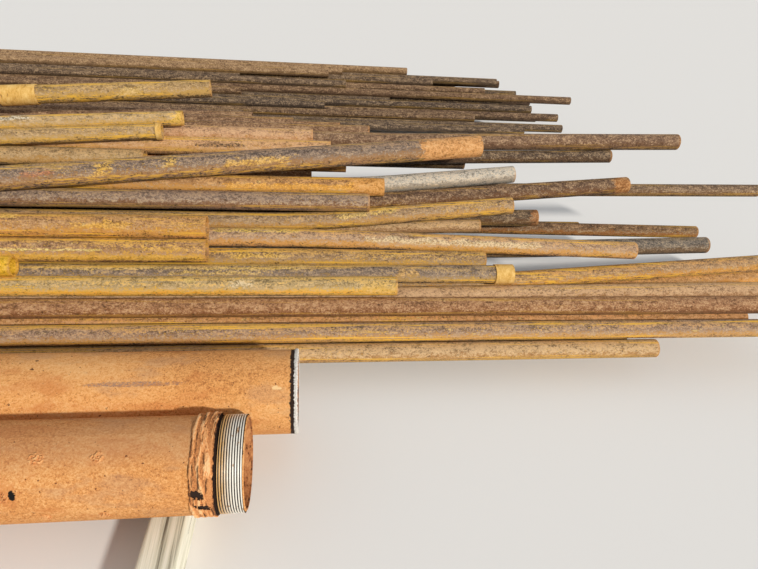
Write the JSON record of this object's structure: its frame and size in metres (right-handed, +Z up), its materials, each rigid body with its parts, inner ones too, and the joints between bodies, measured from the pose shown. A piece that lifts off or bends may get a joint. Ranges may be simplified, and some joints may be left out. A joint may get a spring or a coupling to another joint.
{
  "type": "bundle of iron pipes",
  "caption": "Loose yard pile of rusted round iron pipes: a sloping heap of tubing, large casing in front and slim pipe behind, lying on timber sleepers.",
  "frame": {"origin": "middle of the pile's footprint, on the ground", "axes": "+X along the pipes towards the ends that show, +Y from the casings to the slim pipe at the back, +Z up"},
  "size_m": [9.2134, 3.66, 0.7062],
  "materials": {
    "casing_steel": "smooth orange-brown rust, matt",
    "tubing_steel": "weathered brown rust, matt",
    "large_tubing_steel": "mauve-brown rust with yellow scale, matt",
    "slim_pipe_steel": "dark brown rust, matt",
    "coupling_steel": "yellow-brown rust, matt",
    "core_steel": "dark rust, matt",
    "sleeper_timber": "sawn and weathered"
  },
  "bodies": {
    "root": {"casing_plain": "casing_steel", "casing_threaded": "casing_steel", "couplings": "coupling_steel", "hidden_core": "core_steel", "sleeper_left": "sleeper_timber", "sleeper_middle": "sleeper_timber", "sleeper_right": "sleeper_timber", "slim_pipes_1": "slim_pipe_steel", "slim_pipes_2": "slim_pipe_steel", "slim_pipes_3": "slim_pipe_steel", "slim_pipes_4": "slim_pipe_steel", "slim_pipes_5": "slim_pipe_steel", "slim_pipes_6": "slim_pipe_steel", "tubing_back": "tubing_steel", "tubing_crest": "tubing_steel", "tubing_foot_1": "tubing_steel", "tubing_foot_2": "tubing_steel", "tubing_front_1": "tubing_steel", "tubing_front_2": "tubing_steel", "tubing_front_3": "tubing_steel", "tubing_front_4": "tubing_steel", "tubing_front_5": "tubing_steel", "tubing_front_6": "tubing_steel", "tubing_front_7": "tubing_steel", "tubing_front_8": "tubing_steel", "tubing_front_9": "tubing_steel", "tubing_middle_1": "tubing_steel", "tubing_middle_10": "tubing_steel", "tubing_middle_11": "tubing_steel", "tubing_middle_2": "large_tubing_steel", "tubing_middle_3": "tubing_steel", "tubing_middle_4": "large_tubing_steel", "tubing_middle_5": "tubing_steel", "tubing_middle_6": "tubing_steel", "tubing_middle_7": "tubing_steel", "tubing_middle_8": "tubing_steel", "tubing_middle_9": "tubing_steel", "tubing_top_1": "large_tubing_steel", "tubing_top_2": "tubing_steel", "tubing_top_3": "tubing_steel", "tubing_top_4": "tubing_steel", "tubing_upper_1": "tubing_steel", "tubing_upper_10": "tubing_steel", "tubing_upper_11": "tubing_steel", "tubing_upper_2": "tubing_steel", "tubing_upper_3": "tubing_steel", "tubing_upper_4": "tubing_steel", "tubing_upper_5": "tubing_steel", "tubing_upper_6": "tubing_steel", "tubing_upper_7": "tubing_steel", "tubing_upper_8": "tubing_steel", "tubing_upper_9": "tubing_steel"}
  },
  "joints": []
}
